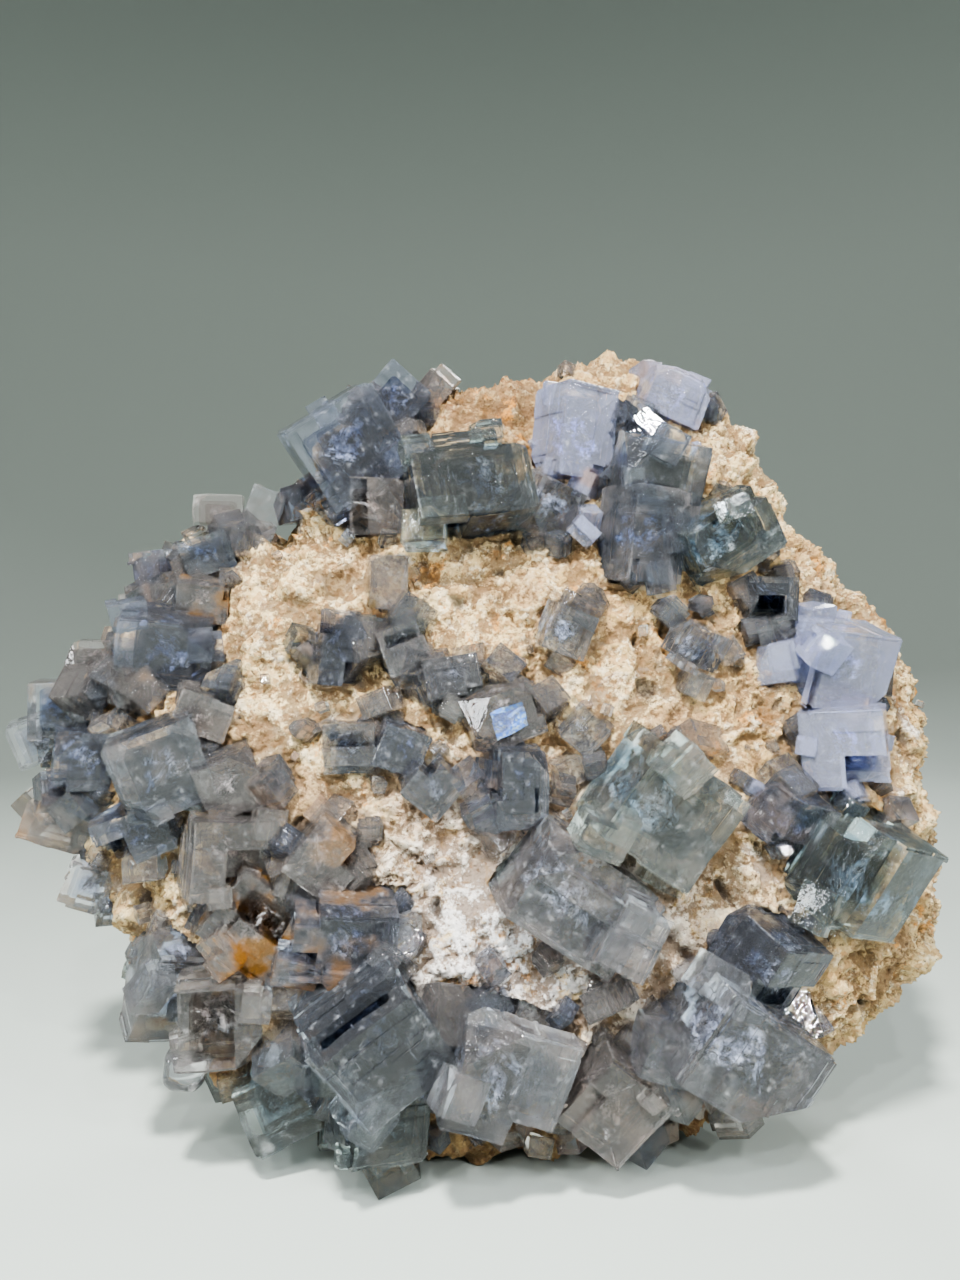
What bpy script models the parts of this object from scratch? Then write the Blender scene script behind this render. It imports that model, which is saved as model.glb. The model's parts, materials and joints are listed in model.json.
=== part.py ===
"""Blue fluorite on matrix: a domed piece of broken rock with the crystals that grew on its face.

The rock stands upright on a small flat spot, leaning back a little. Its crystal face looks towards -Y,
+X runs to the right across that face and +Z is up. The origin is the middle of the flat spot.
"""
import math

import bmesh
import bpy
from mathutils import Euler, Matrix, Vector, noise

MM = 0.001
CUBE_FACES = 6

# Driving dimensions, in millimetres
HEART_Z = 125           # height of the middle of the rock above its flat spot
RIM_Y = 5               # where the rim's plane meets the flat spot
RIM_LEAN = 0.12         # how far the rim's plane leans back for each unit of height
FACE_DEPTH = 68         # how far the crystal face domes forward of the rim at the foot
FACE_TAPER = 0.165      # how much of that the dome loses for each unit of height
BACK_DEPTH = 36         # how far the back bulges behind the rim
FACE_POWER = 2.6        # roundness of the face: 2 is an ellipse, more is flatter with a tighter rim
BACK_POWER = 4.0        # roundness of the broken back
ROCK_CUTS = 15          # how finely the rock's surface is divided, along each side of a cube
SOCKET_GAP = 0.3        # clearance between a crystal and the rock or crystal it grew against
CHAMFER = 0.05          # edge chamfer of a crystal, as a share of its size
FRAME_WIDTH = 0.16      # width of the raised frame round a large crystal's face, as a share of its size
FACE_SINK = 0.02        # how far the face inside that frame is sunk
ROUNDING = 0.26         # edge rounding of a rounded crystal, as a share of its size
ROUNDING_STEPS = 3      # facets across that rounding
SHARP_ANGLE = 35        # a rounded crystal's edges steeper than this stay sharp, in degrees
NEAR_RIM = 0.97         # the furthest out that the face's height is taken, as a share of the way to the rim
LUMPS = (26.0, 4.5)     # spacing and height of the rock's broad lumps
LEDGES = (11.0, 2.2)    # spacing and height of the ledges on them
LEDGE_SHIFT = (7, 3, 5) # keeps the ledges out of step with the lumps
PARALLEL = 1e-9         # two lines that cross less than this are taken as parallel

# Corners of the rock's outline seen from the front (x, z), clockwise from the top
OUTLINE = [
    (-5, 248), (25, 256), (50, 258), (75, 243), (92, 226), (103, 200), (125, 175), (142, 150), (147, 115),
    (145, 75), (133, 44), (104, 20), (62, 4), (5, -5), (-45, 0), (-80, 22), (-112, 50), (-132, 78),
    (-150, 108), (-146, 140), (-124, 172), (-104, 194), (-88, 198), (-74, 188), (-66, 202), (-66, 224),
    (-45, 244),
]

# Crystal sizes, as the edge of a cube in millimetres
SIZES = {"tiny": 11, "small": 14, "medium": 18, "large": 24, "giant": 31}
FRAMED_SIZES = ("large", "giant")

# How a crystal's width, depth and height differ from a plain cube
HABITS = {
    "cube": (1.0, 0.9, 1.0),
    "wide": (1.2, 0.9, 0.9),
    "tall": (0.85, 0.85, 1.25),
    "round": (1.1, 0.9, 1.05),
}

# How a crystal is turned: about the vertical, tipped forward, and rolled clockwise in degrees
ATTITUDES = {
    "square": (10, 4, 0),
    "swung_left": (-26, 4, -4),
    "swung_right": (28, 4, 4),
    "lean_left": (14, 8, -20),
    "lean_right": (14, 8, 20),
    "toppled_left": (12, 14, -34),
    "diamond": (14, 14, 40),
    "keeled": (16, 10, 34),
    "corner_out": (38, 26, 14),
    "face_up": (12, -14, -8),
    "face_down": (14, 18, 6),
}

# How far a crystal's middle stands in front of the rock's face, as a share of its size
SEATS = {"sunk": -0.05, "half": 0.12, "proud": 0.3}

# Every crystal: name, its place on the face (x, z) on a 5 mm step, size, habit, attitude, seat, tint
CRYSTALS = [
    # Crown
    ("crown_block", -50, 220, "giant", "cube", "toppled_left", "proud", "dark"),
    ("crown_peak", -35, 240, "medium", "cube", "diamond", "proud", "dark"),
    ("crown_lower", -40, 200, "medium", "cube", "square", "half", "smoky"),
    ("green_rimmed", -10, 205, "giant", "wide", "face_up", "proud", "green"),
    ("lilac_shield", 25, 225, "large", "tall", "swung_right", "half", "lilac"),
    ("crown_ridge", 60, 240, "medium", "wide", "lean_right", "half", "lilac"),
    ("dome_crystal", 50, 210, "large", "round", "face_down", "proud", "blue"),
    ("upper_peak", 15, 200, "medium", "cube", "corner_out", "half", "clear"),
    # Right shoulder
    ("striped_block", 45, 190, "large", "tall", "swung_right", "half", "blue"),
    ("shoulder_block", 70, 190, "large", "wide", "toppled_left", "proud", "green"),
    ("shoulder_cube", 85, 170, "small", "cube", "square", "proud", "blue"),
    # Left shoulder
    ("gable_prism", -80, 200, "small", "tall", "lean_right", "half", "clear"),
    ("shoulder_wide", -95, 200, "small", "wide", "square", "half", "smoky"),
    ("shoulder_blue", -95, 185, "small", "wide", "lean_left", "proud", "blue"),
    ("outer_dark", -115, 180, "small", "cube", "swung_left", "half", "dark"),
    ("outer_brown", -95, 170, "small", "wide", "face_down", "half", "smoky"),
    ("outer_low", -120, 170, "tiny", "wide", "square", "half", "smoky"),
    # Arch
    ("arch_crystal", -105, 155, "large", "wide", "face_down", "half", "dark"),
    ("left_grey", -130, 150, "small", "cube", "square", "half", "smoky"),
    # Left flank
    ("left_tip", -140, 135, "medium", "cube", "square", "proud", "blue"),
    ("left_lobe", -150, 125, "small", "round", "lean_left", "half", "clear"),
    ("left_mid", -90, 135, "small", "wide", "lean_right", "half", "smoky"),
    ("left_round", -100, 120, "large", "round", "lean_left", "proud", "blue"),
    ("left_dark", -130, 120, "medium", "cube", "swung_right", "half", "dark"),
    ("left_edge", -140, 100, "medium", "wide", "lean_right", "half", "smoky"),
    ("left_bar", -110, 100, "medium", "wide", "lean_left", "half", "dark"),
    ("frosted_tall", -80, 115, "medium", "cube", "lean_left", "half", "smoky"),
    ("frosted_low", -80, 95, "large", "cube", "swung_right", "half", "smoky"),
    ("pale_lobe", -130, 80, "small", "round", "lean_right", "half", "clear"),
    # Heart
    ("grey_upper", -35, 175, "small", "tall", "square", "sunk", "smoky"),
    ("dark_lower", -50, 155, "medium", "tall", "swung_right", "half", "dark"),
    ("pale_tall", -30, 155, "small", "cube", "lean_left", "half", "clear"),
    ("pale_low", -15, 145, "small", "wide", "face_up", "half", "clear"),
    ("heart_top", 0, 135, "medium", "wide", "lean_left", "half", "smoky"),
    ("heart_cube", 5, 115, "medium", "tall", "square", "proud", "dark"),
    ("heart_round", -45, 125, "small", "round", "square", "half", "clear"),
    ("heart_dark", -30, 125, "small", "cube", "lean_right", "sunk", "dark"),
    ("heart_diamond", -20, 115, "small", "cube", "diamond", "half", "clear"),
    ("turned_cube", 20, 160, "small", "cube", "lean_right", "proud", "clear"),
    ("corner_cube", 60, 155, "small", "cube", "corner_out", "half", "clear"),
    ("small_diamond", 25, 130, "tiny", "cube", "diamond", "half", "clear"),
    # Lower left
    ("lower_peak", -50, 95, "medium", "cube", "diamond", "half", "smoky"),
    ("amber_peak", -70, 75, "large", "wide", "diamond", "sunk", "smoky"),
    ("flank_prism", -100, 55, "large", "tall", "corner_out", "half", "clear"),
    ("smoky_block", -80, 50, "large", "cube", "square", "proud", "smoky"),
    ("foot_top", -45, 75, "large", "wide", "face_down", "half", "dark"),
    ("foot_block", -35, 50, "giant", "cube", "toppled_left", "proud", "blue"),
    ("foot_low", -35, 25, "large", "cube", "swung_right", "half", "green"),
    ("foot_pale", -65, 25, "large", "cube", "lean_left", "half", "green"),
    # Foot
    ("foot_mid", 0, 40, "giant", "cube", "lean_right", "half", "clear"),
    ("foot_pink", 30, 30, "large", "cube", "diamond", "half", "smoky"),
    ("foot_right", 65, 45, "giant", "wide", "keeled", "proud", "clear"),
    ("dark_blue", 75, 65, "large", "cube", "corner_out", "half", "dark"),
    # Keel and right flank
    ("keel_upper", 45, 110, "giant", "cube", "keeled", "proud", "green"),
    ("keel_lower", 20, 85, "giant", "wide", "keeled", "half", "clear"),
    ("right_dome", 105, 150, "large", "round", "face_down", "half", "lilac"),
    ("right_lilac", 105, 125, "large", "cube", "swung_left", "half", "lilac"),
    ("dark_glass", 85, 105, "medium", "wide", "corner_out", "half", "dark"),
    ("right_large", 105, 90, "giant", "cube", "corner_out", "half", "green"),
]

# Colour (linear RGB) and roughness of the rock and of each crystal tint
ROCK_LOOK = ((0.62, 0.47, 0.32), 0.9)
TINTS = {
    "dark": ((0.09, 0.10, 0.15), 0.15),
    "smoky": ((0.22, 0.19, 0.18), 0.2),
    "blue": ((0.20, 0.25, 0.34), 0.12),
    "lilac": ((0.33, 0.36, 0.52), 0.18),
    "green": ((0.32, 0.40, 0.38), 0.1),
    "clear": ((0.42, 0.41, 0.40), 0.12),
}


def clear_scene():
    for old in list(bpy.data.objects):
        bpy.data.objects.remove(old, do_unlink=True)


def make_material(name, colour, roughness):
    material = bpy.data.materials.new(name)
    material.use_nodes = True
    shader = material.node_tree.nodes["Principled BSDF"]
    shader.inputs["Base Color"].default_value = (*colour, 1.0)
    shader.inputs["Roughness"].default_value = roughness
    shader.inputs["Metallic"].default_value = 0.0
    material.diffuse_color = (*colour, 1.0)
    return material


def outline_radius(angle):
    """Distance from the rock's middle to its outline, straight between the outline's corners."""
    way = Vector((math.cos(angle), math.sin(angle)))
    reach = 0.0
    for here, after in zip(OUTLINE, OUTLINE[1:] + OUTLINE[:1]):
        start = Vector((here[0], here[1] - HEART_Z))
        end = Vector((after[0], after[1] - HEART_Z))
        side = end - start
        cross = way.x * side.y - way.y * side.x
        if abs(cross) < PARALLEL:
            continue
        along_ray = (start.x * side.y - start.y * side.x) / cross
        along_side = (start.x * way.y - start.y * way.x) / cross
        if 0.0 <= along_side <= 1.0 and along_ray > 0.0:
            reach = max(reach, along_ray)
    return reach


def rim_y(z):
    return RIM_Y + RIM_LEAN * z


def face_y(x, z):
    """How far forward the rock's domed face is at one place."""
    angle = math.atan2(z - HEART_Z, x)
    share = min(math.hypot(x, z - HEART_Z) / outline_radius(angle), NEAR_RIM)
    bulge = (1 - share ** FACE_POWER) ** (1 / FACE_POWER)
    return rim_y(z) - (FACE_DEPTH - FACE_TAPER * z) * bulge


def rock_point(ball_point):
    """Moves a point of a unit ball to the rock: a front dome and a blunter back that meet in the outline."""
    front = ball_point.y < 0
    power = FACE_POWER if front else BACK_POWER
    flat = min(math.hypot(ball_point.x, ball_point.z), 1.0)
    share = flat ** (2 / power)
    bulge = abs(ball_point.y) ** (2 / power)
    angle = math.atan2(ball_point.z, ball_point.x)
    reach = share * outline_radius(angle)
    x = reach * math.cos(angle)
    z = HEART_Z + reach * math.sin(angle)
    depth = -(FACE_DEPTH - FACE_TAPER * z) if front else BACK_DEPTH
    return Vector((x, rim_y(z) + depth * bulge, z))


def roughness_at(point):
    """Height of the broken surface: broad lumps with smaller ledges on them, in millimetres."""
    lumps = noise.noise(point / LUMPS[0]) * LUMPS[1]
    ledges = noise.noise(point / LEDGES[0] + Vector(LEDGE_SHIFT)) * LEDGES[1]
    return lumps + ledges


def make_rock():
    """The matrix: a rough ball drawn out to the outline, cut flat where it stands."""
    bm = bmesh.new()
    bmesh.ops.create_cube(bm, size=1.0)
    bmesh.ops.subdivide_edges(bm, edges=bm.edges[:], cuts=ROCK_CUTS, use_grid_fill=True)
    for vert in bm.verts:
        vert.co = rock_point(vert.co.normalized())
    bm.normal_update()
    moves = [vert.normal * roughness_at(vert.co) for vert in bm.verts]
    for vert, move in zip(bm.verts, moves):
        vert.co += move
    foot = bmesh.ops.bisect_plane(bm, geom=bm.verts[:] + bm.edges[:] + bm.faces[:], plane_co=(0, 0, 0),
                                  plane_no=(0, 0, 1), clear_inner=True)
    rim = [edge for edge in foot["geom_cut"] if isinstance(edge, bmesh.types.BMEdge)]
    bmesh.ops.contextual_create(bm, geom=rim)
    bmesh.ops.triangulate(bm, faces=bm.faces[:])
    bmesh.ops.recalc_face_normals(bm, faces=bm.faces[:])
    return bm


def make_crystal(size, habit, grow):
    """One crystal about its own middle, `grow` larger on every side: a framed cube or a rounded one."""
    edge = SIZES[size]
    bm = bmesh.new()
    bmesh.ops.create_cube(bm, size=1.0)
    sides = [share * edge + 2 * grow for share in HABITS[habit]]
    bmesh.ops.scale(bm, vec=sides, verts=bm.verts)
    if habit == "round":
        bmesh.ops.bevel(bm, geom=bm.edges[:], offset=ROUNDING * edge, segments=ROUNDING_STEPS, profile=0.5,
                        affect="EDGES")
    else:
        bmesh.ops.bevel(bm, geom=bm.edges[:], offset=CHAMFER * edge, segments=1, affect="EDGES")
        if size in FRAMED_SIZES and not grow:
            by_area = sorted(bm.faces, key=lambda face: face.calc_area(), reverse=True)
            bmesh.ops.inset_individual(bm, faces=by_area[:CUBE_FACES], thickness=FRAME_WIDTH * edge,
                                       depth=-FACE_SINK * edge)
    bmesh.ops.triangulate(bm, faces=bm.faces[:])
    return bm


def crystal_place(x, z, size, attitude, seat):
    """Where a crystal's middle is and how it is turned."""
    turn, tip, roll = (math.radians(angle) for angle in ATTITUDES[attitude])
    rotation = Euler((tip, roll, turn)).to_matrix().to_4x4()
    y = face_y(x, z) - SEATS[seat] * SIZES[size]
    return Matrix.Translation(Vector((x, y, z))) @ rotation


def add_object(name, bm, material=None):
    """Makes an object from a mesh in millimetres."""
    bmesh.ops.scale(bm, vec=(MM, MM, MM), verts=bm.verts)
    mesh = bpy.data.meshes.new(name)
    bm.to_mesh(mesh)
    bm.free()
    if material:
        mesh.materials.append(material)
    made = bpy.data.objects.new(name, mesh)
    bpy.context.scene.collection.objects.link(made)
    return made


def add_cutter(name, bm):
    cutter = add_object(name, bm)
    cutter.hide_render = True
    cutter.display_type = "WIRE"
    return cutter


def boxes_meet(one, other):
    """Whether the boxes round two meshes in world space overlap."""
    spans = []
    for thing in (one, other):
        points = [vert.co for vert in thing.data.vertices]
        spans.append([(min(p[axis] for p in points), max(p[axis] for p in points)) for axis in range(3)])
    return all(a[0] < b[1] and b[0] < a[1] for a, b in zip(*spans))


def keep_largest_piece(mesh):
    """Drops the loose chips that a cut leaves behind."""
    bm = bmesh.new()
    bm.from_mesh(mesh)
    left = set(bm.verts)
    pieces = []
    while left:
        piece = {left.pop()}
        edge_of_piece = list(piece)
        while edge_of_piece:
            vert = edge_of_piece.pop()
            for edge in vert.link_edges:
                near = edge.other_vert(vert)
                if near in left:
                    left.remove(near)
                    piece.add(near)
                    edge_of_piece.append(near)
        pieces.append(piece)
    pieces.sort(key=len, reverse=True)
    chips = [vert for piece in pieces[1:] for vert in piece]
    bmesh.ops.delete(bm, geom=chips, context="VERTS")
    bm.to_mesh(mesh)
    bm.free()


def cut(target, cutters):
    """Cuts every cutter that reaches the target out of it and keeps the largest piece."""
    near = [cutter for cutter in cutters if boxes_meet(target, cutter)]
    for cutter in near:
        modifier = target.modifiers.new(cutter.name, "BOOLEAN")
        modifier.operation = "DIFFERENCE"
        modifier.object = cutter
    if not near:
        return
    seen = target.evaluated_get(bpy.context.evaluated_depsgraph_get())
    result = bpy.data.meshes.new_from_object(seen)
    target.modifiers.clear()
    target.data = result
    keep_largest_piece(result)


def volume_of(row):
    share = HABITS[row[4]]
    return SIZES[row[3]] ** 3 * share[0] * share[1] * share[2]


def build():
    clear_scene()
    rock = add_object("matrix_rock", make_rock(), make_material("matrix", *ROCK_LOOK))
    tints = {tint: make_material("fluorite_" + tint, *look) for tint, look in TINTS.items()}
    sockets = []
    for name, x, z, size, habit, attitude, seat, tint in sorted(CRYSTALS, key=volume_of, reverse=True):
        place = crystal_place(x, z, size, attitude, seat)
        shape = make_crystal(size, habit, 0.0)
        bmesh.ops.transform(shape, matrix=place, verts=shape.verts)
        crystal = add_object(name, shape, tints[tint])
        cut(crystal, sockets)
        crystal.data.name = name
        if habit == "round":
            crystal.data.shade_smooth()
            crystal.data.set_sharp_from_angle(angle=math.radians(SHARP_ANGLE))
        hole = make_crystal(size, habit, SOCKET_GAP)
        bmesh.ops.transform(hole, matrix=place, verts=hole.verts)
        sockets.append(add_cutter("socket_" + name, hole))
    cut(rock, sockets)


build()
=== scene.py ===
"""Blue fluorite on matrix: the looks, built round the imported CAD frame.

Every named crystal of the frame is rebuilt as a natural one, stepped and chipped, in the place, size and
attitude that its CAD solid gives. The rock is its own CAD solid, roughened. Small crystals fill in between.
Lengths are in metres unless a comment says millimetres. Shares are of the size named beside them.
"""
import json
import math
import random

import bmesh
import bpy
import numpy as np
from mathutils import Euler, Matrix, Vector, noise
from mathutils.bvhtree import BVHTree


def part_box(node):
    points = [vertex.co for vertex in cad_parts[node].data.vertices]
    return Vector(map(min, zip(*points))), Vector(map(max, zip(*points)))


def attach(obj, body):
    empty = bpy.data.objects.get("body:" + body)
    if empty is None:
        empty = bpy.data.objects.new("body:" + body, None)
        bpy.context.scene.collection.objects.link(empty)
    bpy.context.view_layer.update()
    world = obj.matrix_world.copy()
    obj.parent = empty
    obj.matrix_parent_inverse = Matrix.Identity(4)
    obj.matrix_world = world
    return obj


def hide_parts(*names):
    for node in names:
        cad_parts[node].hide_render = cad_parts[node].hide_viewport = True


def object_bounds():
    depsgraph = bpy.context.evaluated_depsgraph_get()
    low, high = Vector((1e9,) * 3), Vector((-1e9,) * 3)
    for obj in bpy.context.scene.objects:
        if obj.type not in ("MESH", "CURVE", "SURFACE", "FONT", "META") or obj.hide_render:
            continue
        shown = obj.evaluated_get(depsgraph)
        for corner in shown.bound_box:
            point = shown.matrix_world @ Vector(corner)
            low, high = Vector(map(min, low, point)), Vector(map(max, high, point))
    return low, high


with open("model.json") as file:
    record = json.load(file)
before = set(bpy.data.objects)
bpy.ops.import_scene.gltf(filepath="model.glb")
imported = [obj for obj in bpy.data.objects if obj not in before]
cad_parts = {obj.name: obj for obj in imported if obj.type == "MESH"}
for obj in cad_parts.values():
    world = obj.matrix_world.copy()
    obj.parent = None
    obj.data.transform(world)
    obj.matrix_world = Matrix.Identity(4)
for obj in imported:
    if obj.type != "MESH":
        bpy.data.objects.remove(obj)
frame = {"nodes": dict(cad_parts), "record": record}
CAD_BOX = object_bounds()

MM = 0.001
NODES = frame["nodes"]
SLOTS = {entry["node"]: entry["material_slot"] for entry in frame["record"]["subparts"]}
SLOTS = {node: slot[0] if isinstance(slot, list) else slot for node, slot in SLOTS.items()}
ROCK = "matrix_rock"
CRYSTALS = sorted(name for name in NODES if name != ROCK)

# Each tint of fluorite, linear RGB: its clear glass, one zone's darkening, and how clear it is
TINTS = {
    "dark": {"glass": (0.78, 0.82, 0.93), "zone": (0.42, 0.47, 0.62), "clear": 0.97},
    "smoky": {"glass": (0.90, 0.87, 0.86), "zone": (0.74, 0.68, 0.66), "clear": 0.96},
    "blue": {"glass": (0.86, 0.90, 0.96), "zone": (0.36, 0.45, 0.64), "clear": 0.97},
    "lilac": {"glass": (0.70, 0.74, 0.92), "zone": (0.58, 0.62, 0.88), "clear": 0.84},
    "green": {"glass": (0.90, 0.96, 0.95), "zone": (0.50, 0.60, 0.68), "clear": 0.98},
    "clear": {"glass": (0.92, 0.93, 0.97), "zone": (0.76, 0.79, 0.87), "clear": 0.97},
}
CORE_TINT = (0.20, 0.24, 0.33)
RUST_TINT = (0.52, 0.26, 0.06)
FROST_TINT = (0.84, 0.86, 0.90)
# pale edges: partly rubbed wear, partly a painted highlight
WORN_AND_GLINT_TINT = (0.90, 0.92, 0.94)
CLOUD_TINT = (0.93, 0.94, 0.95)
WISP_TINT = (0.85, 0.87, 0.92)
VEIL_TINT = (0.92, 0.94, 0.97)
GLINT_TINTS = ((0.16, 0.34, 0.95), (0.60, 0.80, 1.0))
FLUORITE_IOR = 1.434
STREAK_TURN = (0.6, 0.95, 0.3)      # the wisps' direction, radians, and how they are drawn out along it
STREAK_SCALE = (0.5, 0.5, 2.2)

# The rock's colours, linear RGB. "clod" and "crown" multiply what is under them, darkening the top and, as
# painted shade, the underside.
ROCK_TINTS = {
    "ochre": (0.60, 0.41, 0.18),
    "tan": (0.84, 0.66, 0.37),
    "cream": (0.92, 0.81, 0.58),
    "crumb": (0.52, 0.32, 0.14),
    "chalk": (0.92, 0.90, 0.85),
    "earth": (0.50, 0.33, 0.17),
    # painted light, on the lower middle
    "painted_light": (0.95, 0.95, 0.96),
    "crown": (0.52, 0.44, 0.36),
    "clod": (0.46, 0.34, 0.27),
    "rust": (0.66, 0.30, 0.06),
    "speck": (0.09, 0.06, 0.04),
    # painted shade, low in the relief
    "crack": (0.17, 0.095, 0.04),
    # painted shade, in pits and behind crystals
    "pit_and_socket_shade": (0.05, 0.037, 0.028),
}
# Painted light on the lower middle, and the darker tan top: centre and spread along x and z, mm
LIT_PATCH = ((5, 72), (50, 34))
BROWN_TOP = ((-5, 240), (32, 26))
UNDER_SHADE_HEIGHT = 34        # below this height the rock is painted darker as shade, over UNDER_FADE, mm
UNDER_FADE = 16
ROCK_VOXEL = 0.8 * MM
NOISE_SEED = 11         # mathutils' noise_vector starts from the clock unless it is given a seed
FLOOR_MARGIN = 1.5 * MM # rock lower than this isn't lifted, so that it stands flat
SOCKET_LIFT = 0.5       # how far the rock is raised against a crystal that sits in it, mm
# How dark the rock is painted behind a crystal of each slot, as shade
SOCKET_SHADES = {
    "fluorite_dark": 0.75,
    "fluorite_blue": 0.5,
    "fluorite_smoky": 0.22,
    "fluorite_lilac": 0.35,
    "fluorite_green": 0.25,
    "fluorite_clear": 0.08,
}

LEVELS = 5              # growth steps at each face of a crystal
STEP_SHARE = 0.013      # height of a growth step, as a share of the crystal's size
STEP_JITTER = (0.8, 1.2)
CUTS = 9                # places across a face where a step can end, and how far out they reach
CUT_REACH = 0.86
STEP_PATCHES = 7        # sunk or raised patches on a face
CLEAVE_DEPTHS = (0.12, 0.34)        # a broken corner's depth, as shares of the crystal's least side
CLEAVE_TILT = (0.8, 1.2)
WAVE_LENGTH = 0.6       # the faces' slight waviness, as shares of the crystal's size
WAVE_HEIGHT = 0.022
MAIN_FACES = 12         # the largest flat directions looked at for a crystal's axes
SQUARE = 0.03           # cosine under which two directions count as square to each other
PARALLEL = 0.999        # cosine over which they count as the same
ZONE_SHARES = (0.70, 0.54, 0.38)
ZONE_JITTER = (0.85, 1.08)
ZONE_DRIFT = 0.08
ZONE_ROUNDING = 0.14
ZONE_LEAST = 12 * MM    # crystals smaller than this have no zones of their own
VEIL_THICKNESS = 0.12 * MM
VEIL_COUNTS = (4, 7)
VEIL_REACH = (0.35, 0.70)
VEIL_SPREAD = 0.28      # how far from the crystal's middle a veil may lie, as a share of its half side
VEIL_RIM = 14           # corners round a veil's rim
COMPANY_LEAST = 20 * MM # crystals from this size have smaller ones grown into them
COMPANIONS = 3
COMPANION_SHARES = (0.2, 0.48)
COMPANION_LEAN = 16     # degrees
COMPANION_SEAT = 0.84   # how far out on the large crystal they sit
# Crystals with a nearly black middle
DARK_CORES = ("green_rimmed", "heart_cube", "left_round", "shoulder_cube", "foot_block", "dark_blue",
              "dome_crystal")
# Rust stains, and how strong
STAINS = {"amber_peak": 1.0, "lower_peak": 0.8, "outer_brown": 0.9, "left_edge": 0.7, "foot_top": 0.8,
          "dark_glass": 0.4, "left_tip": 0.4, "foot_mid": 0.2}

# Where small crystals crowd: the named crystals they stand round, how many for each, how far out from it
# as a share of its size, their smallest and largest edge (mm), and their tints
CLUSTERS = [
    (("left_mid", "left_round", "left_dark", "left_edge", "left_lobe"),
     16, 1.5, 4, 13, ("smoky", "dark", "blue")),
    (("outer_dark", "outer_brown", "outer_low", "left_tip", "left_grey"),
     13, 1.4, 4, 12, ("smoky", "blue", "clear")),
    (("gable_prism", "shoulder_blue", "arch_crystal", "shoulder_cube"), 12, 1.5, 4, 12, ("smoky", "clear")),
    (("left_bar", "frosted_tall", "frosted_low", "pale_lobe"), 9, 1.2, 4, 12, ("smoky", "dark", "clear")),
    (("crown_block", "crown_lower", "crown_peak"), 12, 1.3, 4, 12, ("dark", "smoky")),
    (("crown_ridge", "dome_crystal", "lilac_shield", "upper_peak"),
     12, 1.4, 4, 13, ("lilac", "dark", "blue")),
    (("striped_block", "shoulder_block", "shoulder_wide"), 10, 1.3, 4, 11, ("blue", "green", "clear")),
    (("heart_top", "heart_cube", "heart_dark", "heart_round"), 10, 1.8, 3, 11, ("clear", "smoky", "dark")),
    (("turned_cube", "corner_cube", "small_diamond", "grey_upper"), 5, 1.8, 3, 8, ("clear", "smoky")),
    (("keel_upper", "keel_lower"), 9, 1.2, 4, 12, ("green", "clear", "smoky")),
    (("right_dome", "right_lilac", "dark_glass", "right_large"), 9, 1.2, 4, 12, ("dark", "lilac", "clear")),
    (("pale_tall", "pale_low", "dark_lower", "flank_prism"), 8, 1.3, 5, 13, ("smoky", "clear", "green")),
    (("lower_peak", "amber_peak", "smoky_block"), 12, 1.3, 5, 14, ("smoky", "dark")),
    (("foot_block", "foot_pale", "foot_low"), 14, 1.3, 6, 16, ("blue", "green", "dark")),
    (("foot_mid", "foot_pink", "foot_right", "foot_top"), 14, 1.3, 5, 15, ("clear", "dark", "smoky")),
    (("foot_pink", "foot_mid", "foot_right", "foot_low"), 16, 2.0, 4, 11, ("smoky", "dark")),
    (CRYSTALS, 2, 3.0, 2, 5, ("clear", "smoky")),
]
LOWEST_CRYSTAL = 9 * MM # no small crystal stands lower than this
SINGLE_BLOCK = 4 * MM   # small crystals under this are one block, not several
IN_FRONT = 0.1          # how far before the object a ray starts that looks for the rock's face

BALL = 12 * MM          # the glassy ball at the foot's left end
BALL_ROUNDING = 0.36
LUMP_SWELL = 1.012574   # the rock tip's size over its nominal one
GLINT_SHARE = 0.5       # the flashing crack's width, as a share of its crystal's half side
GLINT_CUTS = 6
GLINT_WARP = 0.12
GLINT_OUT = 1.02        # just proud of the face it flashes from

BOWL_FLAT = 1.0         # reach of the backdrop's flat floor, of its bend, and its wall's height
BOWL_BEND = 1.0
BOWL_WALL = 2.2
BOWL_SIDES = 96
BOWL_STEPS = 16
BOWL_TINT = (0.40, 0.45, 0.42)
WORLD_TINT = (0.46, 0.50, 0.50, 1.0)
WORLD_STRENGTH = 0.20
AIM = (0, 0, 0.12)      # what the lamps look at
# Each lamp: its place, what it looks at, power in watts, width, colour
LAMPS = {
    "key": ((-0.10, -0.50, 0.80), AIM, 20.0, 0.09, (1.0, 0.98, 0.94)),
    "softbox": ((-0.45, -0.60, 0.85), AIM, 2.0, 0.22, (0.97, 0.98, 1.0)),
    "side": ((0.60, -0.45, 0.45), AIM, 1.6, 0.12, (0.95, 0.97, 1.0)),
    "left": ((-0.75, -0.35, 0.30), AIM, 1.6, 0.15, (0.94, 0.97, 1.0)),
    "back": ((0.3, 0.9, 0.8), (0, 0, 0.14), 7.0, 0.4, (1.0, 1.0, 1.0)),
}
SPARKLES = 7            # small lamps in an arch before the object, which glint on the crystals
SPARKLE_REACH = 0.6
SPARKLE_FRONT = -0.55
SPARKLE_TOP = 0.55
SPARKLE_DROP = 0.2
SPARKLE_POWER = 1.5
SPARKLE_WIDTH = 0.02
CAMERA_PLACE = (-0.006, -0.313, 0.157)
CAMERA_LENS = 27.0      # mm, on a sensor SENSOR_WIDTH mm wide
SENSOR_WIDTH = 36.0

noise.seed_set(NOISE_SEED)


# ---------------------------------------------------------------- node helpers

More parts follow.
